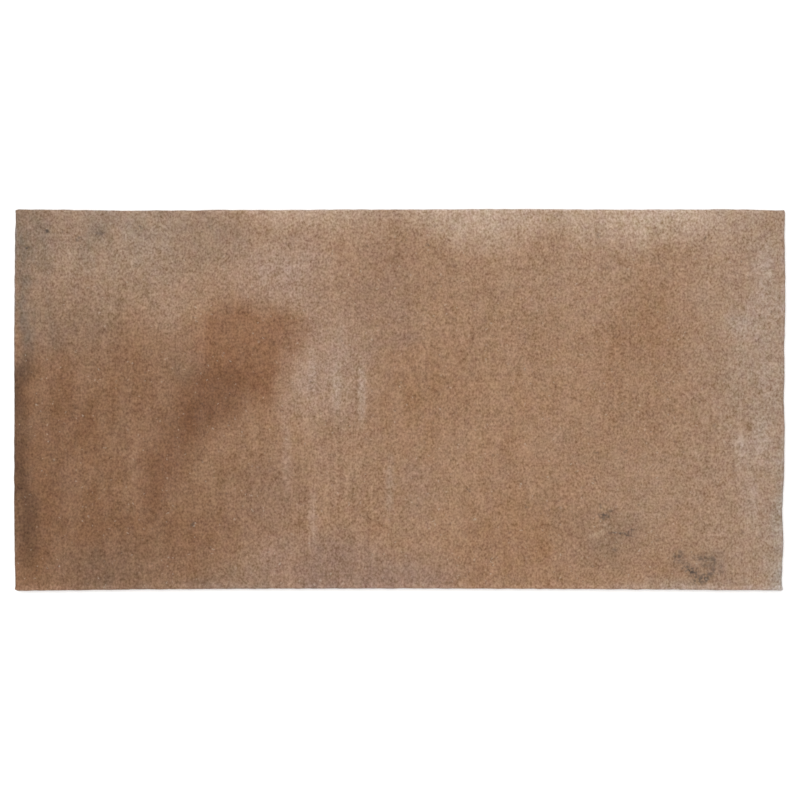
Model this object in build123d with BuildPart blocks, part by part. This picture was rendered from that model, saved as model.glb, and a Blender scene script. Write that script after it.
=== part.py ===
"""A cotto-look porcelain floor tile: one piece, pressed from coloured clay powder and fired.

The tile lies face up. Its origin is the middle of its back, +X runs along its length, +Y across
it and +Z out of the face. All sizes are millimetres.

The upper half is a skirt with the uneven edge of a hand-moulded tile. It stands over a straight,
drafted foot, and the back of the foot carries a shallow waffle of ribs that keys into adhesive.
"""

import os

from build123d import *

# The mean rectangle that the wavy edge of the face runs about, and the height of the tile.
LENGTH = 298.0
WIDTH = 147.0
THICKNESS = 9.0

# Skirt: it ends at the parting line of the die, where it hangs over the foot as a small ledge.
SKIRT_HEIGHT = 4.6
CORNER_RADIUS = 1.2
ARRIS_RADIUS = 1.0
LEDGE = 1.2
LEDGE_CHAMFER = 0.25

# Foot: a plain drafted block below the parting line.
FOOT_DRAFT = 5.0
FOOT_CORNER = 2.5
BACK_CHAMFER = 0.6

# Adhesive key: pockets pressed into the back leave a waffle of ribs inside a plain rim. Each
# pocket is a square with its corners cut off and its walls drafted.
KEY_DEPTH = 0.7
KEY_DRAFT = 25.0
KEY_PITCH = 19.0
KEY_RIB = 3.0
KEY_CORNER = 1.5
KEY_RIM = 5.0

# How far each corner of the face stands out from the mean rectangle, along X and along Y.
FRONT_LEFT_OUT = (-0.35, 0.65)
FRONT_RIGHT_OUT = (-0.65, 0.5)
REAR_LEFT_OUT = (-0.45, 0.1)
REAR_RIGHT_OUT = (0.45, -0.35)

# How far each edge stands out from the mean rectangle, at even steps between its two corners.
# The long edges run from left to right and the short edges from front to rear.
FRONT_WAVE = (0.2, -0.1, -0.25, -0.3, -0.2, -0.05, 0.2)
REAR_WAVE = (-0.15, -0.4, -0.2, -0.1, -0.05, 0.1, 0.1, 0.2, 0.0, 0.0, 0.1)
LEFT_WAVE = (0.05, 0.2, 0.15, 0.1, 0.15, 0.1, -0.05)
RIGHT_WAVE = (-0.8, -0.35, -0.7, -0.5, 0.05, 0.1, 0.15, -0.2, 0.1, 0.0, 0.25, 0.4, 0.45, 0.2, 0.1)


def face_corner(side_x, side_y, out):
    """A corner of the face: the corner of the mean rectangle, moved out along X and Y."""
    return Vector(side_x * (LENGTH / 2 + out[0]), side_y * (WIDTH / 2 + out[1]))


def long_edge(left_corner, right_corner, side, wave):
    """The wavy edge at the front (side -1) or the rear (side 1)."""
    step = LENGTH / (len(wave) + 1)
    stations = [step * count - LENGTH / 2 for count in range(1, len(wave) + 1)]
    crests = [Vector(x, side * (WIDTH / 2 + out)) for x, out in zip(stations, wave)]
    Spline(left_corner, *crests, right_corner)


def short_edge(front_corner, rear_corner, side, wave):
    """The wavy edge at the left (side -1) or the right (side 1)."""
    step = WIDTH / (len(wave) + 1)
    stations = [step * count - WIDTH / 2 for count in range(1, len(wave) + 1)]
    crests = [Vector(side * (LENGTH / 2 + out), y) for y, out in zip(stations, wave)]
    Spline(front_corner, *crests, rear_corner)


front_left = face_corner(-1, -1, FRONT_LEFT_OUT)
front_right = face_corner(1, -1, FRONT_RIGHT_OUT)
rear_left = face_corner(-1, 1, REAR_LEFT_OUT)
rear_right = face_corner(1, 1, REAR_RIGHT_OUT)
parting_height = THICKNESS - SKIRT_HEIGHT

with BuildPart() as tile:
    # Skirt, with the arris of the face rounded and the lip over the ledge chamfered.
    with BuildSketch(Plane.XY.offset(parting_height)):
        with BuildLine():
            long_edge(front_left, front_right, -1, FRONT_WAVE)
            long_edge(rear_left, rear_right, 1, REAR_WAVE)
            short_edge(front_left, rear_left, -1, LEFT_WAVE)
            short_edge(front_right, rear_right, 1, RIGHT_WAVE)
        make_face()
    extrude(amount=SKIRT_HEIGHT)
    fillet(tile.edges().filter_by(Axis.Z), CORNER_RADIUS)
    fillet(tile.faces().sort_by(Axis.Z)[-1].edges(), ARRIS_RADIUS)
    chamfer(tile.faces().sort_by(Axis.Z)[0].edges(), LEDGE_CHAMFER)

    # Foot, narrowing towards the back.
    with BuildSketch(Plane.XY.offset(parting_height)):
        RectangleRounded(LENGTH - 2 * LEDGE, WIDTH - 2 * LEDGE, FOOT_CORNER)
    extrude(amount=-parting_height, taper=FOOT_DRAFT)
    chamfer(tile.faces().sort_by(Axis.Z)[0].edges(), BACK_CHAMFER)

    # Adhesive key: as many whole pockets as fit inside the rim.
    back = tile.faces().sort_by(Axis.Z)[0].bounding_box().size
    columns = int((back.X - 2 * KEY_RIM + KEY_RIB) // KEY_PITCH)
    rows = int((back.Y - 2 * KEY_RIM + KEY_RIB) // KEY_PITCH)
    with BuildSketch() as pockets:
        with GridLocations(KEY_PITCH, KEY_PITCH, columns, rows):
            Rectangle(KEY_PITCH - KEY_RIB, KEY_PITCH - KEY_RIB)
        chamfer(pockets.vertices(), KEY_CORNER)
    extrude(amount=KEY_DEPTH, taper=KEY_DRAFT, mode=Mode.SUBTRACT)

tile.part.label = "tile"
os.makedirs("parts", exist_ok=True)
export_step(tile.part, "parts/tile.step")
print(f"{columns} by {rows} pockets, {tile.part.volume / 1000:.1f} cm3")
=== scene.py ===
"""A cotto-look porcelain tile, lying face up on a pale floor.

The tile is one piece. Its moulded body is built round the CAD tile: the face is a fine grid
stretched between the four wavy edges, the skirt is extruded from it and drawn onto the CAD tile,
and the foot with its waffle back is taken from the frame. The clouded print of the face, the
bare fired body and the kiln wash on the ribs are node materials. Into the print is painted the
shade of the rolled left edge, its grooves, the pits, dents and scratch. It also holds a painted
highlight on the ridge by the scratch, and painted light over the shade of the arris.
"""

import math

import bmesh
import bpy
import numpy as np
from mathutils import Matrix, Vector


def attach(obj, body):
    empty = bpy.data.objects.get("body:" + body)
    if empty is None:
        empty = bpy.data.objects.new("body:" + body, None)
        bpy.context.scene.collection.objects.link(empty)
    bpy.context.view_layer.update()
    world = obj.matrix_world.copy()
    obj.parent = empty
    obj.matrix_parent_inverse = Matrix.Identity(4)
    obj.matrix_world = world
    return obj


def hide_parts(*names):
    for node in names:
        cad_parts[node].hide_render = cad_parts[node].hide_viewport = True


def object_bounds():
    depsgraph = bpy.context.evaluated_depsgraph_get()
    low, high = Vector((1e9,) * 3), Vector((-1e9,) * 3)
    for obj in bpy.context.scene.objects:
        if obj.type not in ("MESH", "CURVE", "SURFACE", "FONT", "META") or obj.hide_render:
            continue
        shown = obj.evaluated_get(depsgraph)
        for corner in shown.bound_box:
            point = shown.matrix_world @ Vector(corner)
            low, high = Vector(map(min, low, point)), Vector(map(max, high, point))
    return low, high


MM = 0.001

# How near two points have to be to count as one, and as level with each other.
SAME_POINT = 0.001 * MM
SAME_LEVEL = 0.01 * MM

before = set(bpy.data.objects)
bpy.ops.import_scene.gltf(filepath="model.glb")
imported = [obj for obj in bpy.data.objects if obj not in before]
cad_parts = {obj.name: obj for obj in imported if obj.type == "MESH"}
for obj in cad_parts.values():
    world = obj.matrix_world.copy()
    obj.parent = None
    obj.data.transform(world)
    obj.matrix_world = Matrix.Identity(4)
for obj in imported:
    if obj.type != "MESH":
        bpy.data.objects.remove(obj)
cad_low, cad_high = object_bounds()

# Photograph: one pixel of its 800 px frame on the face, and the point that the camera looks at.
PIXEL = 298.0 / 770.4 * MM
FRAME_WIDTH = 800 * PIXEL
AIM = (0.23 * MM, -0.23 * MM)
LENS = 120.0
SENSOR = 36.0

# Body: the grid of the face is finer near the edges, and the skirt comes down in rings.
FACE_CELLS = (352, 178)
EDGE_FINENESS = 0.6
EDGE_EASE = 9.0
ARRIS = 1.0 * MM
ARRIS_STEPS = 5
SKIRT = 4.6 * MM
WALL_STEPS = 4
PRINTED_WALL_STEPS = 3
LIP = 0.25 * MM
CORNER_ROUND = 1.2 * MM
CORNER_POWER = 6
CORNER_REACH = 3.2 * MM
SMOOTH_ANGLE = math.radians(35)

# Foot: its flats are merged, its ribs softened, and its long top edges cut to meet the skirt.
FLAT_ANGLE = math.radians(0.5)
RIB_ANGLE = math.radians(20)
RIB_BEVEL = 0.22 * MM
RIB_BEVEL_STEPS = 2
LONG_EDGE = 5 * MM
LEDGE_CUTS = 90

# Relief, each as (size of its swells, height from trough to crest).
UNDULATION = (34 * MM, 0.45 * MM)
HAND_FINISH = (7 * MM, 0.16 * MM)
RIM_WEAR = (4.5 * MM, 0.35 * MM)

# Where the relief dies out: the rim wear between two distances from the edge, with a share of it
# left low on the wall, the relief of the face down the wall, and the dents over the arris.
RIM_START = 1.0 * MM
RIM_WIDTH = 6 * MM
RIM_SHARE_LOW = 0.4
FACE_RELIEF_END = 1.0 * MM
DENT_FADE = 0.5 * MM
WEIGHT_STEPS = 200

# Single dents and ridges of the face, in millimetres: (x, y, half length, half width, turn in
# degrees, height).
DENTS = (
    (-142.5, -42.0, 3.4, 24.0, 0, -0.16),
    (-144.5, 8.0, 3.0, 13.0, 0, -0.1),
    (85.2, -51.4, 5.2, 0.9, -6, -0.2),
    (77.5, -51.6, 5.4, 1.3, 18, 0.14),
    (79.4, -44.6, 1.8, 1.3, 0, -0.16),
    (107.5, -61.0, 1.7, 1.4, 0, -0.14),
    (118.5, -62.5, 4.0, 0.9, -12, -0.12),
    (114.0, -67.0, 4.5, 1.8, 8, -0.12),
    (-136.5, 65.0, 0.9, 0.9, 0, -0.2),
    (-143.8, 58.8, 0.9, 0.8, 0, -0.2),
    (-99.8, 66.2, 1.0, 0.8, 0, -0.16),
    (-119.0, 63.5, 3.2, 1.4, 10, -0.12),
    (-79.9, -48.3, 0.9, 1.2, 0, -0.18),
    (10.8, 59.6, 0.9, 0.9, 0, -0.14),
    (104.6, -58.0, 1.0, 1.0, 0, -0.14),
    (134.5, -54.5, 1.0, 0.8, 0, -0.16),
    (-106.0, -20.0, 1.2, 13.0, 0, -0.08),
)

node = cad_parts["tile"]
top = cad_high.z
wall_top = top - ARRIS
ledge = top - SKIRT
wall_foot = ledge + LIP


def select_only(obj):
    """Deselect everything but one object and make it the active one."""
    bpy.ops.object.select_all(action="DESELECT")
    obj.select_set(True)
    bpy.context.view_layer.objects.active = obj


def points_of(obj):
    """The vertices of a mesh as an array, one row each."""
    places = np.empty(len(obj.data.vertices) * 3)
    obj.data.vertices.foreach_get("co", places)
    return places.reshape(-1, 3)


def put_points(obj, places):
    """Move the vertices of a mesh to the rows of an array."""
    obj.data.vertices.foreach_set("co", places.ravel())
    obj.data.update()


def smooth_step(values, low, high):
    """0 below low, 1 above high and a soft curve between, for an array."""
    share = np.clip((values - low) / (high - low), 0, 1)
    return share * share * (3 - 2 * share)


def merged_copy(name):
    """A copy of the CAD tile with its loose triangles merged into clean faces."""
    copy = node.copy()
    copy.data = node.data.copy()
    copy.name = name
    copy.parent = None
    copy.hide_render = False
    bpy.context.scene.collection.objects.link(copy)
    select_only(copy)
    bpy.ops.object.mode_set(mode="EDIT")
    bpy.ops.mesh.select_all(action="SELECT")
    bpy.ops.mesh.remove_doubles(threshold=SAME_POINT)
    bpy.ops.object.mode_set(mode="OBJECT")
    return copy


def wavy_edges():
    """The four wavy edges of the CAD skirt, where its wall meets the arris.

    Each edge is a pair of arrays, the stations along it and how far out it lies there.
    """
    places = points_of(node)
    ring = places[abs(places[:, 2] - wall_top) < SAME_LEVEL]
    inner = (cad_high.x - CORNER_REACH, cad_high.y - CORNER_REACH)
    edges = {}
    for name, along, side in (("left", 1, -1), ("right", 1, 1), ("front", 0, -1), ("rear", 0, 1)):
        across = 1 - along
        run = ring[(side * ring[:, across] > inner[across]) & (abs(ring[:, along]) < inner[along])]
        run = run[np.argsort(run[:, along])]
        edges[name] = (run[:, along], run[:, across])
    return edges


edges = wavy_edges()


def graded(count):
    """Stations from 0 to 1 that lie closer together towards both ends."""
    index = np.arange(count)
    near = np.minimum(index, count - 1 - index)
    steps = 1 - EDGE_FINENESS * np.exp(-near / EDGE_EASE)
    return np.concatenate(([0.0], np.cumsum(steps) / steps.sum()))


def make_face():
    """The flat of the face: a graded grid stretched between the four wavy edges."""
    bpy.ops.mesh.primitive_grid_add(
        x_subdivisions=FACE_CELLS[0], y_subdivisions=FACE_CELLS[1], size=1, location=(0, 0, 0)
    )
    face = bpy.context.object
    face.name = "fired_tile"
    places = points_of(face)
    column = np.rint((places[:, 0] + 0.5) * FACE_CELLS[0]).astype(int)
    row = np.rint((places[:, 1] + 0.5) * FACE_CELLS[1]).astype(int)
    across = graded(FACE_CELLS[0])[column]
    along = graded(FACE_CELLS[1])[row]
    x = cad_low.x + (cad_high.x - cad_low.x) * across
    y = cad_low.y + (cad_high.y - cad_low.y) * along
    left = np.interp(y, *edges["left"]) + ARRIS
    right = np.interp(y, *edges["right"]) - ARRIS
    front = np.interp(x, *edges["front"]) + ARRIS
    rear = np.interp(x, *edges["rear"]) - ARRIS
    places[:, 0] = left + (right - left) * across
    places[:, 1] = front + (rear - front) * along
    places[:, 2] = top
    put_points(face, places)
    return face


def skirt_rings():
    """(distance out from the flat, height) of each ring of the skirt, from the flat down."""
    rings = []
    for step in range(1, ARRIS_STEPS + 1):
        turn = math.pi / 2 * step / ARRIS_STEPS
        rings.append((ARRIS * math.sin(turn), wall_top + ARRIS * math.cos(turn)))
    for step in range(1, WALL_STEPS + 1):
        rings.append((ARRIS, wall_top + (wall_foot - wall_top) * step / WALL_STEPS))
    rings.append((ARRIS - LIP, ledge))
    return rings


def extrude_skirt(tile):
    """Extrude the rim of the face ring by ring, then draw the rings onto the CAD tile."""
    select_only(tile)
    bpy.ops.object.mode_set(mode="EDIT")
    bpy.ops.mesh.select_all(action="SELECT")
    bpy.ops.mesh.region_to_loop()
    out = 0.0
    height = top
    half_length = (cad_high.x - cad_low.x) / 2 - ARRIS
    half_width = (cad_high.y - cad_low.y) / 2 - ARRIS
    for next_out, next_height in skirt_rings():
        bpy.ops.mesh.extrude_edges_move(
            TRANSFORM_OT_translate={"value": (0, 0, next_height - height)}
        )
        bpy.ops.transform.resize(
            value=(
                (half_length + next_out) / (half_length + out),
                (half_width + next_out) / (half_width + out),
                1,
            ),
            center_override=(0, 0, 0),
        )
        out = next_out
        height = next_height
    bpy.ops.object.mode_set(mode="OBJECT")

    places = points_of(tile)
    group = tile.vertex_groups.new(name="skirt")
    group.add(np.flatnonzero(places[:, 2] < top - SAME_POINT).tolist(), 1.0, "REPLACE")
    mould = merged_copy("mould")
    select_only(tile)
    wrap = tile.modifiers.new("drawn onto the CAD tile", "SHRINKWRAP")
    wrap.target = mould
    wrap.vertex_group = group.name
    wrap.wrap_method = "NEAREST_SURFACEPOINT"
    bpy.ops.object.modifier_apply(modifier=wrap.name)
    bpy.data.objects.remove(mould)

    places = points_of(tile)
    lip = places[:, 2] < ledge + LIP / 4
    places[lip, 2] = ledge
    put_points(tile, places)


def sharpen_corners(tile):
    """Draw the four rounded corners of the skirt out to the nearly square ones of the photo."""
    places = points_of(tile)
    left, right, front, rear = edge_distances(places)
    for across, out_x in ((left, -1), (right, 1)):
        for along, out_y in ((front, -1), (rear, 1)):
            deep_x = CORNER_ROUND - across
            deep_y = CORNER_ROUND - along
            near = (deep_x > 0) & (deep_y > 0)
            deep_x = deep_x[near]
            deep_y = deep_y[near]
            reach = np.hypot(deep_x, deep_y)
            squared = (deep_x / reach) ** CORNER_POWER + (deep_y / reach) ** CORNER_POWER
            push = squared ** (-1 / CORNER_POWER) - 1
            places[near, 0] += out_x * deep_x * push
            places[near, 1] += out_y * deep_y * push
    put_points(tile, places)


def edge_distances(places):
    """How far in each point lies from the left, right, front and rear edge."""
    x = places[:, 0]
    y = places[:, 1]
    return (
        x - np.interp(y, *edges["left"]),
        np.interp(y, *edges["right"]) - x,
        y - np.interp(x, *edges["front"]),
        np.interp(x, *edges["rear"]) - y,
    )


def weigh(tile, name, weights):
    """Put an array of weights into a new vertex group, in a few hundred even steps."""
    group = tile.vertex_groups.new(name=name)
    steps = np.rint(weights * WEIGHT_STEPS).astype(int)
    for step in np.unique(steps[steps > 0]):
        chosen = np.flatnonzero(steps == step).tolist()
        group.add(chosen, float(step) / WEIGHT_STEPS, "REPLACE")


def swell(tile, name, relief, direction, group):
    """Displace a piece by soft clouds of one size, within a vertex group."""
    size, height = relief
    clouds = bpy.data.textures.new(name, "CLOUDS")
    clouds.noise_scale = size
    clouds.noise_depth = 1
    press = tile.modifiers.new(name, "DISPLACE")
    press.texture = clouds
    press.texture_coords = "LOCAL"
    press.direction = direction
    press.strength = height
    press.mid_level = 0.5
    press.vertex_group = group
    bpy.ops.object.modifier_apply(modifier=press.name)


def roughen(tile):
    """Give the face its uneven swells and the rim its worn, hand-moulded line."""
    places = points_of(tile)
    nearest = np.minimum.reduce(edge_distances(places))
    height = smooth_step(places[:, 2], ledge + FACE_RELIEF_END, wall_top)
    rim = 1 - smooth_step(nearest, RIM_START, RIM_WIDTH)
    rim *= RIM_SHARE_LOW + (1 - RIM_SHARE_LOW) * height
    rim[places[:, 2] < ledge + LIP / 4] = 0
    select_only(tile)
    weigh(tile, "face and arris", height)
    weigh(tile, "rim", rim)
    swell(tile, "undulation", UNDULATION, "Z", "face and arris")
    swell(tile, "hand finish", HAND_FINISH, "Z", "face and arris")
    swell(tile, "rim wear", RIM_WEAR, "NORMAL", "rim")

    places = points_of(tile)
    upper = smooth_step(places[:, 2], wall_top - DENT_FADE, wall_top + DENT_FADE)
    for x, y, half_length, half_width, turn, rise in DENTS:
        angle = math.radians(turn)
        dx = places[:, 0] / MM - x
        dy = places[:, 1] / MM - y
        along = (dx * math.cos(angle) + dy * math.sin(angle)) / half_length
        across = (dy * math.cos(angle) - dx * math.sin(angle)) / half_width
        places[:, 2] += rise * MM * upper * np.exp(-(along**2) - across**2)
    put_points(tile, places)


def take_foot():
    """The foot and the waffle back: the CAD tile below its ledge, with its edges softened."""
    foot = merged_copy("foot")
    bpy.ops.object.mode_set(mode="EDIT")
    bpy.ops.mesh.dissolve_limited(angle_limit=FLAT_ANGLE)
    bpy.ops.mesh.select_all(action="DESELECT")
    bpy.ops.object.mode_set(mode="OBJECT")
    for face in foot.data.polygons:
        heights = [foot.data.vertices[index].co.z for index in face.vertices]
        face.select = min(heights) > ledge - SAME_LEVEL
    bpy.ops.object.mode_set(mode="EDIT")
    bpy.ops.mesh.delete(type="FACE")
    bpy.ops.object.mode_set(mode="OBJECT")
    soften = foot.modifiers.new("worn rib edges", "BEVEL")
    soften.width = RIB_BEVEL
    soften.segments = RIB_BEVEL_STEPS
    soften.limit_method = "ANGLE"
    soften.angle_limit = RIB_ANGLE
    bpy.ops.object.modifier_apply(modifier=soften.name)

    bpy.ops.object.mode_set(mode="EDIT")
    bpy.ops.mesh.select_mode(type="EDGE")
    bpy.ops.mesh.select_all(action="DESELECT")
    bpy.ops.object.mode_set(mode="OBJECT")
    places = points_of(foot)
    for edge in foot.data.edges:
        start, end = places[list(edge.vertices)]
        at_ledge = min(start[2], end[2]) > ledge - SAME_LEVEL
        edge.select = bool(at_ledge and np.linalg.norm(end - start) > LONG_EDGE)
    bpy.ops.object.mode_set(mode="EDIT")
    bpy.ops.mesh.subdivide(number_cuts=LEDGE_CUTS)
    bpy.ops.object.mode_set(mode="OBJECT")
    return foot


def join_foot(tile, foot):
    """Join the foot to the skirt and stitch the ledge between them, point by point round it."""
    skirt_points = len(tile.data.vertices)
    select_only(tile)
    foot.select_set(True)
    bpy.ops.object.join()

    shape = bmesh.new()
    shape.from_mesh(tile.data)
    around = [point for point in shape.verts if point.is_boundary]
    around.sort(key=lambda point: math.atan2(point.co.y, point.co.x))
    lip = [point for point in around if point.index < skirt_points]
    foot_top = [point for point in around if point.index >= skirt_points]
    outer = lip[0]
    inner = foot_top[0]
    for point in [p for p in around if p not in (outer, inner)] + [outer, inner]:
        shape.faces.new((outer, point, inner))
        if point.index < skirt_points:
            outer = point
        else:
            inner = point
    bmesh.ops.recalc_face_normals(shape, faces=shape.faces)
    shape.to_mesh(tile.data)
    shape.free()


def note_edge_distances(tile):
    """Store how far each point lies from the four edges, for the strips along them."""
    left, right, front, rear = edge_distances(points_of(tile))
    for name, near, far in (("short_edges", left, right), ("long_edges", front, rear)):
        pair = np.stack((near, far, np.zeros_like(near)), axis=1)
        store = tile.data.attributes.new(name, "FLOAT_VECTOR", "POINT")
        store.data.foreach_set("vector", pair.ravel())


# Colours, as they look on a screen from 0 to 255. They are mixed deeper than that, since the
# sheen of the surface lays a thin veil over them and the light is brighter than white.
SHEEN_VEIL = 0.019
LIGHT_SHARE = 0.825
FAWN = (160, 126, 100)
BODY = (176, 154, 138)
BODY_GROG = (202, 184, 168)
BODY_IRON = (112, 90, 78)
# Dark specks, and the painted shade of the pits, dents and scratch.
WASH = (214, 208, 198)
DARK_MARK = (88, 76, 68)
FLECK = (205, 186, 168)
CHALK_LINE = (190, 169, 154)
# Pale spots, and a painted highlight on the ridge by the scratch.
PALE_MARK = (182, 154, 130)

# Specks: (colour, spacing, radius in spacings, share of the places that hold one, strength).
SOOT_SPECKS = (DARK_MARK, 3.2 * MM, 0.2, 0.35, 0.35)
PALE_SPECKS = (FLECK, 2.2 * MM, 0.24, 0.35, 0.5)
GROG_SPECKS = (BODY_GROG, 1.9 * MM, 0.26, 0.3, 0.7)
IRON_SPECKS = (BODY_IRON, 2.6 * MM, 0.2, 0.35, 0.75)

# Grain: its sizes, how it is drawn out, how much its grit and its patches change red, green and
# blue, and how much more the pale grains gain in blue than in red.
SAND = 0.8 * MM
SAND_STRETCH = (1.0, 0.8, 1.0)
GRIT = 2.6 * MM
GRIT_HUE = (0.0, 0.09, 0.14)
GRIT_HEIGHT = 1.5
HUE_PATCH = 6 * MM
HUE_PATCH_HUE = (0.12, 0.0, 0.18)
STREAK = 2.0 * MM
STREAK_STRETCH = (1.0, 0.09, 1.0)
GRAIN_GAIN = (0.83, 1.0, 1.22)

# Print, as (size of its noise, strength) or (size, reach): the drift of its clouds, the nudge of
# its strokes and marks, its broad clouding, and the noise that thins it.
DRIFT = (16 * MM, 14 * MM)
NUDGE = (1.8 * MM, 3.0 * MM)
CLOUDING = (20 * MM, 0.3)
THINNING = 7 * MM
THINNING_STRETCH = (1.0, 0.4, 1.0)
PRINT_FINE = 1.7
PRINT_COARSE = 0.5
STREAKS_ALL_OVER = 0.2
STREAKS_IN_ZONE = 0.45
MARK_GRIT = 1.3 * MM
MARK_THIN = 0.25
MARK_FULL = 1.25

# The print ends between these heights on the wall, on a line that wanders.
PRINT_END = (5.8 * MM, 7.6 * MM)
PRINT_END_WANDER = (4 * MM, 3.0 * MM)

# Bare body: the drag lines of the die and its soft clouds, as (size, strength).
BODY_FINE = 0.5
BODY_COARSE = 0.4
DRAG_LINES = (0.9 * MM, 0.35)
DRAG_STRETCH = (1.0, 1.0, 0.12)
BODY_CLOUDS = (28 * MM, 0.35)

# Kiln wash: its patches, the heights between which it fades from the rib tops, and how thinly
# and how thickly it lies on the ribs and between them.
WASH_PATCH = 9 * MM
WASH_HEIGHTS = (0.22 * MM, 0.05 * MM)
WASH_ON_RIBS = (0.1, 0.95)
WASH_BETWEEN = (0.04, 0.22)

# Surface: gloss, and how deep the fine relief of the grain is.
GLOSS = 0.3
PRINT_ROUGHNESS = (0.68, 0.8)
BODY_ROUGHNESS = (0.82, 0.92)
PRINT_RELIEF = 0.08 * MM
BODY_RELIEF = 0.09 * MM

# The range that most of a noise lies in, the full core of a soft patch and of a strip along an
# edge, and how much the width of such a strip varies.
NOISE_RANGE = (0.3, 0.7)
PATCH_CORE = 0.1
STRIP_CORE = 0.35
STRIP_NOISE = 5 * MM
STRIP_WIDTHS = (0.5, 1.7)

# Strips along the edges: how wide each is, and how much it brings up red, green and blue. The
# left, right and rear ones are worn pale. The arris one is painted light over the shade of the
# rounded edge all round. The front one is worn pale, and is also painted light over the shaded
# front arris.
EDGE_WEAR_AND_PAINTED_LIGHT = {
    # Painted light: lightens the shaded rounded edge and the printed wall below it, all round.
    "arris": (0.45 * MM, (1.12, 1.17, 1.25)),
    "left": (0.9 * MM, (0.98, 1.1, 1.32)),
    "right": (1.6 * MM, (1.06, 1.1, 1.18)),
    "rear": (1.3 * MM, (1.12, 1.16, 1.2)),
    # Worn pale, and widened to paint light over the shade of the front arris.
    "front": (2.3 * MM, (1.18, 1.22, 1.33)),
}

# Clouds of the print, in the order in which they lie over each other. The dark cloud along the
# left edge is painted shade instead. Each has its colour, how ragged it is, and its soft patches
# in
# millimetres on the face: (x, y, half length, half width, turn in degrees, strength).
CLOUDS = (
    ("brown_clay", (133, 98, 73), 0.15, (
        (-140, -40, 80, 84, 0, 1.0),
        (-130, 8, 36, 44, 0, 0.35),
        (-84, 4, 40, 36, 0, 0.6),
        (-66, -38, 44, 44, 0, 0.5),
        (-96, -62, 44, 30, 0, 0.35),
        (-102, 24, 24, 22, 0, 0.3),
    )),
    ("ash", (158, 138, 121), 0.3, (
        (-110, 64, 70, 44, 0, 0.6),
    )),
    ("pale_rear", (190, 165, 144), 0.2, (
        (100, 79, 72, 28, 0, 0.9),
        (30, 79, 44, 27, 0, 0.85),
        (-30, 79, 60, 24, 0, 0.62),
        (76, 56, 74, 40, 0, 0.15),
    )),
    ("pale_right", (168, 144, 125), 0.3, (
        (160, 10, 66, 120, 0, 0.9),
        (146, -66, 46, 36, 0, 0.4),
        (100, -38, 34, 30, 0, 0.25),
    )),
    ("orange_clay", (155, 118, 90), 0.25, (
        (8, 2, 26, 34, 0, 0.9),
        (46, -10, 44, 34, 0, 0.4),
        (44, -56, 44, 30, 0, 0.8),
        (100, 34, 18, 32, 0, 0.4),
        (84, 18, 8, 26, 0, 0.4),
    )),
    ("chalk", (168, 140, 121), 0.35, (
        (-29, 15, 27, 36, 0, 0.8),
        (-24, -24, 20, 40, 0, 0.15),
        (-46, 50, 34, 22, 0, 0.8),
        (-92, 33, 10, 16, 0, 0.35),
        (-54, -62, 18, 12, 0, 0.3),
        (64, -16, 18, 16, 0, 0.2),
    )),
    ("rust", (142, 104, 78), 0.2, (
        (-60, 24, 30, 20, 0, 1.3),
        (-66, 6, 32, 24, 15, 0.9),
        (-42, 27, 13, 11, 0, 0.35),
        (-51, 0, 14, 18, 0, 0.15),
    )),
    ("umber", (122, 86, 63), 0.2, (
        (-70, 2, 26, 18, 28, 0.85),
        (-86, -18, 15, 28, -28, 0.75),
        (-93, -36, 13, 22, 0, 0.3),
        (-90, -61, 20, 16, 0, 0.1),
    )),
    ("lavender", (149, 120, 102), 0.35, (
        (-6, 40, 24, 38, 0, 0.4),
        (3, 24, 14, 6, 20, 0.4),
        (-27, -66, 36, 18, 0, 1.0),
        (4, -68, 30, 14, 0, 0.8),
        (8, -36, 14, 20, 0, 0.4),
        (-50, -42, 22, 30, 0, 0.35),
    )),
    ("slate", (118, 106, 95), 0.5, (
        (-143, 62, 14, 26, 0, 0.45),
        (-142, 34, 14, 28, 0, 0.3),
        (-126, 28, 26, 20, 0, 0.25),
        (-72, 63, 22, 14, 0, 0.25),
        (-84, 14, 13, 13, 0, 0.2),
        (-64, -70, 24, 11, 0, 0.2),
        (-112, -66, 34, 18, 0, 0.2),
        (-119, 63.5, 10, 6, 10, 0.3),
        (80, -54, 26, 20, 0, 0.22),
        (-147, 30, 5, 44, 0, 0.3),
        (116, -64, 18, 11, 0, 0.25),
        (-60, -73, 90, 5, 0, 0.2),
    )),
    # Painted shade: darker along the rolled left edge, in its shallow grooves and in the groove at
    # x = -106.
    ("rolled_edge_shade", (100, 75, 58), 0.3, (
        (-148, -20, 9, 64, 0, 0.55),
        (-144.5, -46, 6, 34, 0, 0.35),
        (-146, 6, 6, 22, 0, 0.5),
        (-106, -20, 3, 19, 0, 0.15),
    )),
    ("white_bloom", (186, 166, 153), 0.5, (
        (132.6, 30, 8, 9, 0, 0.2),
        (134, -19.5, 9, 9, 0, 0.3),
        (141.3, -17, 6, 12, 0, 0.35),
        (143, 42, 10, 26, 0, 0.28),
        (138, -42, 8, 20, 0, 0.12),
    )),
    ("grey_bloom", (165, 152, 137), 0.4, (
        (149, -40, 7, 32, 0, 0.55),
        (148, -66, 10, 14, 0, 0.6),
        (108, -72, 44, 5, 0, 0.3),
    )),
)

# Upright chalky strokes and the zone round them that is finely streaked.
STROKES = (
    (-33.5, 5, 3.0, 18, 0, 0.22),
    (-24, 5, 2.6, 16, 0, 0.3),
    (-14.6, 2, 2.6, 18, 0, 0.4),
    (-33.5, -46, 3.0, 16, 0, 0.2),
    (-3.7, -34, 2.6, 18, 0, 0.25),
    (-43.4, -20, 3.0, 26, 0, 0.15),
)
STREAKY_ZONE = (
    (-26, -14, 30, 58, 0, 1.0),
    (60, -10, 70, 60, 0, 0.4),
)
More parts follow.
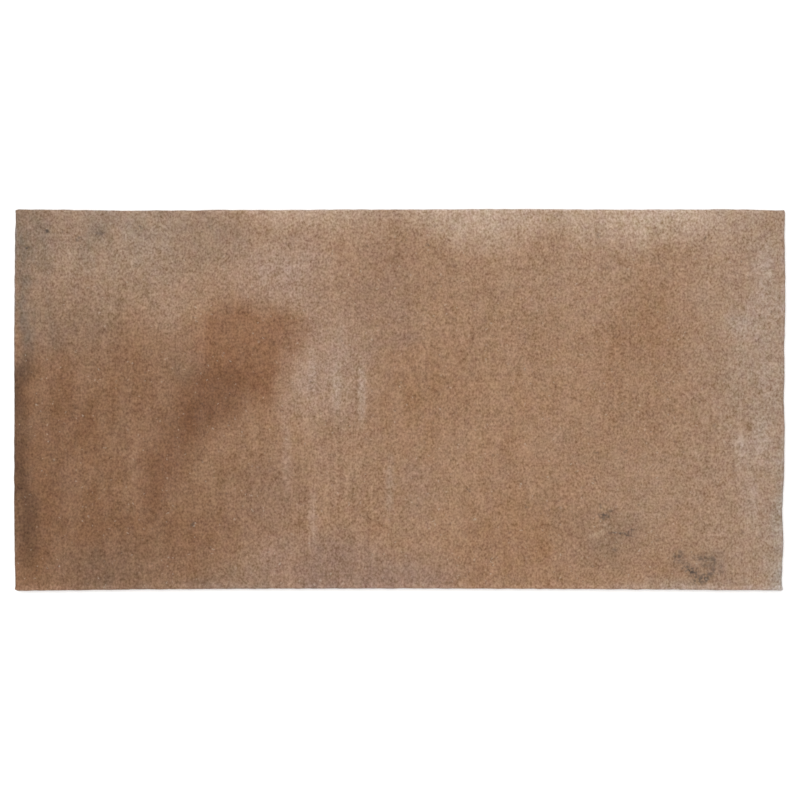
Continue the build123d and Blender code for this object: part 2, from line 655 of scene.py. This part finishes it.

# Small dark marks of the face, in millimetres: (x, y, half length, half width, turn, strength).
# Those over the pits, dents and scratch of the relief above are painted shade of them; the rest
# are dark spots with no relief under them.
MARKS = (
    (79.4, -45.0, 3.4, 2.2, -10, 0.65),
    (81.4, -43.4, 2.6, 1.1, 30, 0.4),
    (77.4, -44.4, 2.2, 1.0, 0, 0.35),
    (78.1, -41.4, 1.2, 1.0, 0, 0.4),
    (83.4, -51.3, 3.2, 1.0, 8, 0.6),
    (86.4, -51.9, 2.8, 1.1, -24, 0.8),
    (88.6, -52.6, 2.0, 1.4, 0, 0.65),
    (89.6, -50.9, 1.8, 1.0, 50, 0.65),
    (108.2, -60.8, 3.2, 3.6, 0, 0.6),
    (106.4, -62.6, 1.4, 1.2, 0, 0.4),
    (111.6, -65.4, 4.4, 2.6, -48, 0.65),
    (117.0, -61.4, 5.2, 2.0, -6, 0.5),
    (121.6, -62.4, 2.6, 2.2, -40, 0.6),
    (120.6, -66.4, 2.6, 3.6, 0, 0.5),
    (118.6, -68.4, 3.0, 2.6, 0, 0.5),
    (116.2, -69.6, 4.6, 3.0, 0, 0.7),
    (114.4, -66.6, 3.2, 2.6, 0, 0.55),
    (118.0, -64.0, 3.0, 1.6, 0, 0.35),
    (124.3, -65.8, 1.6, 2.6, 0, 0.45),
    (83.4, -58.2, 1.5, 1.8, 0, 0.5),
    (87.5, -20.0, 1.3, 1.0, 30, 0.6),
    (75.8, -20.8, 1.2, 1.0, 0, 0.45),
    (92.4, -40.5, 1.2, 1.0, 0, 0.4),
    (129.7, -27.4, 1.2, 1.0, 0, 0.4),
    (143.5, -24.2, 1.1, 1.0, 0, 0.35),
    (132.6, -51.4, 1.6, 1.2, -30, 0.55),
    (-136.5, 65.0, 1.5, 1.4, 0, 0.8),
    (-143.8, 58.8, 1.7, 1.2, 0, 0.8),
    (-99.8, 66.2, 1.4, 1.4, 0, 0.5),
    (-124.0, 62.2, 2.6, 1.5, 0, 0.45),
    (-116.0, 64.3, 3.4, 1.5, 8, 0.4),
    (-79.9, -48.3, 1.6, 2.4, 0, 0.5),
    (10.8, 59.6, 1.5, 1.5, 0, 0.5),
    (27.0, -35.2, 1.3, 1.1, 0, 0.6),
    (49.2, -41.4, 1.3, 1.1, 0, 0.5),
    (76.9, 63.5, 1.3, 1.4, 0, 0.5),
    (117.9, 62.0, 1.4, 1.2, 0, 0.45),
    (143.9, 33.7, 1.2, 1.4, 0, 0.5),
    (121.8, -9.9, 1.4, 1.2, 0, 0.4),
    (-142.0, 19.8, 1.2, 1.9, 0, 0.5),
)

# Pale marks beside them. The first, along the raised ridge by the scratch, is a painted highlight.
PALE_MARKS = (
    (77.0, -51.8, 5.6, 1.5, 16, 0.5),
    (79.6, -48.6, 2.6, 1.2, 0, 0.3),
    (115.0, -22.0, 1.8, 3.0, 0, 0.4),
    (131.5, -34.5, 1.6, 1.6, 0, 0.35),
)


def seen(colour):
    """A colour as it looks under the studio light, made the linear colour that a shader takes."""
    linear = []
    for part in colour:
        share = part / 255
        shade = share / 12.92 if share <= 0.04045 else ((share + 0.055) / 1.055) ** 2.4
        linear.append(LIGHT_SHARE * (shade - SHEEN_VEIL))
    return (*linear, 1.0)


def feed(tree, socket, value):
    """Join a socket to an output, or set it to a plain value."""
    if isinstance(value, bpy.types.NodeSocket):
        tree.links.new(value, socket)
    else:
        socket.default_value = value


def add(tree, kind, values, **settings):
    """Add a node with its settings, and feed its sockets by name or number."""
    made = tree.nodes.new(kind)
    for name, value in settings.items():
        setattr(made, name, value)
    for socket, value in values.items():
        feed(tree, made.inputs[socket], value)
    return made


def reckon(tree, operation, first, second=0.0, clamp=False):
    """One Math node."""
    made = add(tree, "ShaderNodeMath", {0: first, 1: second}, operation=operation, use_clamp=clamp)
    return made.outputs[0]


def reckon_vector(tree, operation, *values):
    """One Vector Math node."""
    made = add(tree, "ShaderNodeVectorMath", dict(enumerate(values)), operation=operation)
    return made.outputs["Value" if operation == "LENGTH" else "Vector"]


def fade(tree, value, low, high, to_low=0.0, to_high=1.0):
    """A soft step from one value to another as the input passes from low to high."""
    made = add(
        tree, "ShaderNodeMapRange", {0: value, 1: low, 2: high, 3: to_low, 4: to_high},
        interpolation_type="SMOOTHSTEP",
    )
    return made.outputs[0]


def noise(tree, place, size, detail=1.0, roughness=0.5):
    """A Noise node whose swells have one size. Its outputs are a value and a colour."""
    return add(
        tree, "ShaderNodeTexNoise",
        {"Vector": place, "Scale": 1 / size, "Detail": detail, "Roughness": roughness},
    )


def centred(tree, value, gain):
    """A noise value brought round zero and multiplied."""
    return reckon(tree, "MULTIPLY", reckon(tree, "SUBTRACT", value, 0.5), gain)


def centred_colour(tree, value):
    """A noise colour brought round zero."""
    return reckon_vector(tree, "SUBTRACT", value, (0.5, 0.5, 0.5))


def lay_over(tree, amount, under, over):
    """One colour over another by an amount from 0 to 1."""
    made = add(tree, "ShaderNodeMix", {0: amount, 6: under, 7: over}, data_type="RGBA")
    return made.outputs[2]


def stir(tree, place, size, reach):
    """Push a place about by noise, so that soft patches get natural outlines."""
    shift = centred_colour(tree, noise(tree, place, size, 2.0).outputs[1])
    return reckon_vector(tree, "MULTIPLY_ADD", shift, (reach, reach, reach), place)


def new_group(name, inputs, outputs):
    """A node group with its named sockets, as (kind, name, value) for each input."""
    group = bpy.data.node_groups.new(name, "ShaderNodeTree")
    for kind, socket_name, value in inputs:
        socket = group.interface.new_socket(
            name=socket_name, in_out="INPUT", socket_type="NodeSocket" + kind
        )
        if value is not None:
            socket.default_value = value
    for kind, socket_name in outputs:
        group.interface.new_socket(
            name=socket_name, in_out="OUTPUT", socket_type="NodeSocket" + kind
        )
    given = group.nodes.new("NodeGroupInput").outputs
    result = group.nodes.new("NodeGroupOutput").inputs
    return group, given, result


def use(tree, group, values):
    """Place a node group in a tree."""
    made = tree.nodes.new("ShaderNodeGroup")
    made.node_tree = group
    for socket, value in values.items():
        feed(tree, made.inputs[socket], value)
    return made


def make_soft_patch():
    """A soft ellipse, added to the patches under it. Its place is measured in its own reach."""
    group, given, result = new_group(
        "soft_patch",
        (
            ("Vector", "Place", None), ("Vector", "Stretch", None), ("Vector", "Shift", None),
            ("Float", "Strength", 1.0), ("Float", "Under", 0.0),
        ),
        (("Float", "Mask"),),
    )
    own_place = reckon_vector(
        group, "MULTIPLY_ADD", given["Place"], given["Stretch"], given["Shift"]
    )
    distance = reckon_vector(group, "LENGTH", own_place)
    mask = fade(group, distance, 1.0, PATCH_CORE, 0.0, given["Strength"])
    feed(group, result["Mask"], reckon(group, "ADD", mask, given["Under"]))
    return group


def make_grain():
    """Sandy grain of the fired surface: a value round zero, a little taller than wide."""
    group, given, result = new_group(
        "sandy_grain",
        (
            ("Vector", "Place", None), ("Float", "Fine", 1.0), ("Float", "Coarse", 1.0),
            ("Float", "Streaks", 1.0),
        ),
        (("Float", "Grain"), ("Vector", "Tint"), ("Float", "Height")),
    )
    place = given["Place"]
    sand_place = reckon_vector(group, "MULTIPLY", place, SAND_STRETCH)
    sand = noise(group, sand_place, SAND, 1.0, 0.7).outputs[0]
    grit, grit_hue = noise(group, place, GRIT).outputs
    patch_hue = noise(group, place, HUE_PATCH, 2.0).outputs[1]
    streak_place = reckon_vector(group, "MULTIPLY", place, STREAK_STRETCH)
    streak = noise(group, streak_place, STREAK).outputs[0]
    fine = centred(group, sand, given["Fine"])
    coarse = centred(group, grit, given["Coarse"])
    streaks = centred(group, streak, given["Streaks"])
    both = reckon(group, "ADD", fine, coarse)
    feed(group, result["Grain"], reckon(group, "ADD", both, streaks))
    hues = reckon_vector(group, "MULTIPLY", centred_colour(group, grit_hue), GRIT_HUE)
    patches_of_hue = centred_colour(group, patch_hue)
    hues = reckon_vector(group, "MULTIPLY_ADD", patches_of_hue, HUE_PATCH_HUE, hues)
    feed(group, result["Tint"], hues)
    raised = reckon(group, "MULTIPLY", grit, GRIT_HEIGHT)
    feed(group, result["Height"], reckon(group, "ADD", sand, raised))
    return group


def make_grained():
    """A colour darkened and lightened by grain, the pale grains less coloured."""
    group, given, result = new_group(
        "grained_colour",
        (("Color", "Color", None), ("Float", "Grain", 0.0), ("Vector", "Tint", None)),
        (("Color", "Color"),),
    )
    tinted = reckon_vector(group, "ADD", given["Tint"], (1.0, 1.0, 1.0))
    gain = reckon_vector(group, "MULTIPLY_ADD", given["Grain"], GRAIN_GAIN, tinted)
    feed(group, result["Color"], reckon_vector(group, "MULTIPLY", given["Color"], gain))
    return group


def make_specks():
    """Scattered specks: a mask of small dots, with the share of cells that hold one."""
    group, given, result = new_group(
        "specks",
        (
            ("Vector", "Place", None), ("Float", "Spacing", 3 * MM), ("Float", "Radius", 0.15),
            ("Float", "Share", 0.3),
        ),
        (("Float", "Mask"),),
    )
    scale = reckon(group, "DIVIDE", 1.0, given["Spacing"])
    cells = add(group, "ShaderNodeTexVoronoi", {"Vector": given["Place"], "Scale": scale})
    dot = fade(group, cells.outputs["Distance"], given["Radius"], 0.0)
    chance = add(group, "ShaderNodeSeparateColor", {0: cells.outputs["Color"]}).outputs[0]
    held = reckon(group, "LESS_THAN", chance, given["Share"])
    feed(group, result["Mask"], reckon(group, "MULTIPLY", dot, held))
    return group


groups = {
    "patch": make_soft_patch(),
    "grain": make_grain(),
    "grained": make_grained(),
    "specks": make_specks(),
}


def speckled(tree, colour, place, specks):
    """A colour with specks of another one scattered over it."""
    tint, spacing, radius, share, strength = specks
    scattered = use(
        tree, groups["specks"],
        {"Place": place, "Spacing": spacing, "Radius": radius, "Share": share},
    )
    amount = reckon(tree, "MULTIPLY", scattered.outputs["Mask"], strength)
    return lay_over(tree, amount, colour, seen(tint))


def make_bare_body():
    """The bare fired body: pinkish grey with grog, iron specks and drag lines of the die."""
    group, given, result = new_group(
        "bare_body",
        (("Vector", "Place", None),),
        (("Color", "Color"), ("Float", "Height"), ("Float", "Roughness")),
    )
    place = given["Place"]
    grain = use(
        group, groups["grain"],
        {"Place": place, "Fine": BODY_FINE, "Coarse": BODY_COARSE, "Streaks": 0.0},
    )
    drag_size, drag_strength = DRAG_LINES
    drag_place = reckon_vector(group, "MULTIPLY", place, DRAG_STRETCH)
    drag = noise(group, drag_place, drag_size, 2.0, 0.6).outputs[0]
    tone = reckon(group, "ADD", grain.outputs["Grain"], centred(group, drag, drag_strength))
    cloud_size, cloud_strength = BODY_CLOUDS
    clouds = noise(group, place, cloud_size, 2.0).outputs[0]
    tone = reckon(group, "ADD", tone, centred(group, clouds, cloud_strength))
    colour = use(
        group, groups["grained"],
        {"Color": seen(BODY), "Grain": tone, "Tint": grain.outputs["Tint"]},
    ).outputs[0]
    colour = speckled(group, colour, place, GROG_SPECKS)
    colour = speckled(group, colour, place, IRON_SPECKS)
    feed(group, result["Color"], colour)
    height = reckon(group, "ADD", grain.outputs["Height"], drag)
    feed(group, result["Height"], height)
    feed(group, result["Roughness"], fade(group, clouds, *NOISE_RANGE, *BODY_ROUGHNESS))
    return group


def make_ragged_edge_strip():
    """A ragged strip along an edge, from how far in a point lies."""
    group, given, result = new_group(
        "ragged_edge_strip",
        (
            ("Vector", "Place", None), ("Float", "Distance", 0.0), ("Float", "Width", MM),
        ),
        (("Float", "Mask"),),
    )
    ragged = noise(group, given["Place"], STRIP_NOISE, 3.0, 0.6).outputs[0]
    varied = fade(group, ragged, 0.25, 0.75, *STRIP_WIDTHS)
    reach = reckon(group, "MULTIPLY", given["Width"], varied)
    share = reckon(group, "DIVIDE", given["Distance"], reach)
    feed(group, result["Mask"], fade(group, share, 1.0, STRIP_CORE))
    return group


groups["body"] = make_bare_body()
groups["edge"] = make_ragged_edge_strip()


def patches(tree, place, rows):
    """The sum of a list of soft patches given in millimetres."""
    turned = {0: place}
    total = 0.0
    for x, y, half_length, half_width, turn, strength in rows:
        angle = math.radians(turn)
        if turn not in turned:
            turned[turn] = add(
                tree, "ShaderNodeVectorRotate", {"Vector": place, "Angle": -angle},
                rotation_type="Z_AXIS",
            ).outputs[0]
        own_x = x * math.cos(angle) + y * math.sin(angle)
        own_y = y * math.cos(angle) - x * math.sin(angle)
        patch = use(
            tree, groups["patch"],
            {
                "Place": turned[turn],
                "Stretch": (1 / (half_length * MM), 1 / (half_width * MM), 0),
                "Shift": (-own_x / half_length, -own_y / half_width, 0),
                "Strength": strength,
                "Under": total,
            },
        )
        total = patch.outputs["Mask"]
    return total


def new_material(name):
    """An empty node material with its Principled shader and the Object coordinates."""
    material = bpy.data.materials.new(name)
    material.use_nodes = True
    tree = material.node_tree
    place = tree.nodes.new("ShaderNodeTexCoord").outputs["Object"]
    return material, tree, tree.nodes["Principled BSDF"], place


def finish_surface(tree, shader, colour, roughness, height, depth):
    """Feed the shader its gloss, colour, roughness and fine relief."""
    shader.inputs["Specular IOR Level"].default_value = GLOSS
    feed(tree, shader.inputs["Base Color"], colour)
    feed(tree, shader.inputs["Roughness"], roughness)
    relief = add(tree, "ShaderNodeBump", {"Strength": 1.0, "Distance": depth, "Height": height})
    feed(tree, shader.inputs["Normal"], relief.outputs["Normal"])


def edge_strips(tree, place, colour):
    """Lay the strips along the four edges over a colour, and give the front one's mask.

    The left, right and rear strips are worn pale. The arris strip is painted light over the shade
    of the rounded edge, and the front strip is worn pale and also painted light over the front
    arris.
    """
    distances = {}
    for name, near, far in (("short_edges", "left", "right"), ("long_edges", "front", "rear")):
        pair = add(tree, "ShaderNodeAttribute", {}, attribute_name=name)
        split = add(tree, "ShaderNodeSeparateXYZ", {0: pair.outputs["Vector"]})
        distances[near] = split.outputs[0]
        distances[far] = split.outputs[1]
        distances[name] = reckon(tree, "MINIMUM", split.outputs[0], split.outputs[1])
    distances["arris"] = reckon(
        tree, "MINIMUM", distances["short_edges"], distances["long_edges"]
    )
    masks = {}
    for name, (width, gain) in EDGE_WEAR_AND_PAINTED_LIGHT.items():
        strip = use(
            tree, groups["edge"], {"Place": place, "Distance": distances[name], "Width": width}
        )
        masks[name] = strip.outputs[0]
        # The arris strip, and part of the front one, are painted light over the shade of the
        # rounded edge.
        worn = lay_over(tree, masks[name], (1.0, 1.0, 1.0, 1.0), (*gain, 1.0))
        colour = reckon_vector(tree, "MULTIPLY", colour, worn)
    return colour, masks["front"]


def print_layers(tree, place):
    """The clouded clay print, with painted shade and light at its edges, grooves, pits and
    scratch:
    its colour, its roughness and the height of its grain.
    """
    drifted = stir(tree, place, *DRIFT)
    nudged = stir(tree, place, *NUDGE)
    thinning_place = reckon_vector(tree, "MULTIPLY", place, THINNING_STRETCH)
    thinning = noise(tree, thinning_place, THINNING, 3.0, 0.65).outputs[0]
    colour = seen(FAWN)
    # Among the clouds is the painted shade along the rolled left edge and in its grooves.
    for _, tint, ragged, rows in CLOUDS:
        amount = patches(tree, drifted, rows)
        thin = fade(tree, thinning, *NOISE_RANGE, 1 - ragged, 1 + ragged)
        amount = reckon(tree, "MULTIPLY", amount, thin, clamp=True)
        colour = lay_over(tree, amount, colour, seen(tint))
    colour = lay_over(tree, patches(tree, nudged, STROKES), colour, seen(CHALK_LINE))
    # Pale marks, among them a painted highlight on the ridge by the scratch.
    colour = lay_over(tree, patches(tree, nudged, PALE_MARKS), colour, seen(PALE_MARK))
    colour, front_strip = edge_strips(tree, place, colour)

    zone = reckon(tree, "ADD", patches(tree, drifted, STREAKY_ZONE), front_strip)
    streaks = reckon(tree, "MULTIPLY", zone, STREAKS_IN_ZONE)
    streaks = reckon(tree, "ADD", streaks, STREAKS_ALL_OVER)
    grain = use(
        tree, groups["grain"],
        {"Place": place, "Fine": PRINT_FINE, "Coarse": PRINT_COARSE, "Streaks": streaks},
    )
    clouding_size, clouding_strength = CLOUDING
    clouding = noise(tree, place, clouding_size, 2.0).outputs[0]
    clouding = centred(tree, clouding, clouding_strength)
    tone = reckon(tree, "ADD", grain.outputs["Grain"], clouding)
    colour = use(
        tree, groups["grained"],
        {"Color": colour, "Grain": tone, "Tint": grain.outputs["Tint"]},
    ).outputs[0]

    grit = noise(tree, place, MARK_GRIT, 1.0, 0.6).outputs[0]
    broken = fade(tree, grit, 0.36, 0.6, MARK_THIN, MARK_FULL)
    # Dark marks: painted shade where they lie over the pits, dents and scratch.
    dark = reckon(tree, "MULTIPLY", patches(tree, nudged, MARKS), broken, clamp=True)
    colour = lay_over(tree, dark, colour, seen(DARK_MARK))
    colour = speckled(tree, colour, place, SOOT_SPECKS)
    colour = speckled(tree, colour, nudged, PALE_SPECKS)
    roughness = fade(tree, thinning, *NOISE_RANGE, *PRINT_ROUGHNESS)
    return colour, roughness, grain.outputs["Height"]


def make_print():
    """The print of the face and the arris."""
    material, tree, shader, place = new_material("clouded_clay_print")
    colour, roughness, height = print_layers(tree, place)
    finish_surface(tree, shader, colour, roughness, height, PRINT_RELIEF)
    return material


def make_wall_print():
    """The same print where it thins out down the wall, over the bare body."""
    material, tree, shader, place = new_material("print_thinning_on_the_wall")
    colour, roughness, grain_height = print_layers(tree, place)
    body = use(tree, groups["body"], {"Place": place})
    height = add(tree, "ShaderNodeSeparateXYZ", {0: place}).outputs[2]
    wander_size, wander_reach = PRINT_END_WANDER
    wander = noise(tree, place, wander_size, 3.0, 0.6).outputs[0]
    wander = centred(tree, wander, wander_reach)
    cover = fade(tree, reckon(tree, "ADD", height, wander), *PRINT_END)
    colour = lay_over(tree, cover, body.outputs["Color"], colour)
    finish_surface(tree, shader, colour, roughness, grain_height, PRINT_RELIEF)
    return material


def make_body():
    """The bare body of the lower skirt, the foot and the back, with wash on the rib tops."""
    material, tree, shader, place = new_material("bare_fired_body")
    body = use(tree, groups["body"], {"Place": place})
    height = add(tree, "ShaderNodeSeparateXYZ", {0: place}).outputs[2]
    patchy = noise(tree, place, WASH_PATCH, 4.0, 0.7).outputs[0]
    tops = fade(tree, height, *WASH_HEIGHTS)
    worn = fade(tree, patchy, 0.32, 0.56, *WASH_ON_RIBS)
    dusting = fade(tree, patchy, 0.5, 0.75, *WASH_BETWEEN)
    wash = add(
        tree, "ShaderNodeMix", {0: tops, 2: dusting, 3: worn}, data_type="FLOAT"
    ).outputs[0]
    colour = lay_over(tree, wash, body.outputs["Color"], seen(WASH))
    roughness = body.outputs["Roughness"]
    finish_surface(tree, shader, colour, roughness, body.outputs["Height"], BODY_RELIEF)
    return material


def dress(tile):
    """Give the print to the face, thin it out down the wall, and leave the rest bare."""
    tile.data.materials.clear()
    for material in (make_print(), make_wall_print(), make_body()):
        tile.data.materials.append(material)
    bare_line = wall_top - (wall_top - wall_foot) * PRINTED_WALL_STEPS / WALL_STEPS
    for face in tile.data.polygons:
        if face.center.z > wall_top:
            face.material_index = 0
        else:
            face.material_index = 1 if face.center.z > bare_line else 2


tile = make_face()
extrude_skirt(tile)
sharpen_corners(tile)
roughen(tile)
foot = take_foot()
join_foot(tile, foot)
tile.vertex_groups.clear()
note_edge_distances(tile)
select_only(tile)
bpy.ops.object.shade_smooth_by_angle(angle=SMOOTH_ANGLE)
dress(tile)

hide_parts("tile")
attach(tile, "root")

# Studio: the floor, the light all round, a soft box nearly overhead, and the camera's range.
FLOOR_SIZE = 12
FLOOR_COLOUR = (0.95, 0.95, 0.95, 1)
FLOOR_ROUGHNESS = 0.9
ROOM_LIGHT = 0.4
KEY_PLACE = (-0.18, 0.16, 3.0)
KEY_SIZE = 0.8
KEY_POWER = 74.8
NEAREST = 0.05
FARTHEST = 50

bpy.ops.object.select_all(action="DESELECT")
bpy.ops.mesh.primitive_plane_add(size=FLOOR_SIZE, location=(0, 0, 0))
floor = bpy.context.object
floor.name = "floor"
pale = bpy.data.materials.new("pale_floor")
pale.use_nodes = True
pale_shader = pale.node_tree.nodes["Principled BSDF"]
pale_shader.inputs["Base Color"].default_value = FLOOR_COLOUR
pale_shader.inputs["Roughness"].default_value = FLOOR_ROUGHNESS
floor.data.materials.append(pale)

world = bpy.data.worlds.new("studio")
world.use_nodes = True
world.node_tree.nodes["Background"].inputs["Color"].default_value = (1, 1, 1, 1)
world.node_tree.nodes["Background"].inputs["Strength"].default_value = ROOM_LIGHT
bpy.context.scene.world = world

bpy.ops.object.light_add(type="AREA", location=KEY_PLACE)
key = bpy.context.object
key.name = "key"
key.data.size = KEY_SIZE
key.data.energy = KEY_POWER
key.rotation_euler = key.location.to_track_quat("Z", "Y").to_euler()

distance = LENS / SENSOR * FRAME_WIDTH
bpy.ops.object.camera_add(location=(AIM[0], AIM[1], top + distance), rotation=(0, 0, 0))
camera = bpy.context.object
camera.data.lens = LENS
camera.data.sensor_width = SENSOR
camera.data.clip_start = NEAREST
camera.data.clip_end = FARTHEST
bpy.context.scene.camera = camera
bpy.context.scene.view_settings.view_transform = "Standard"
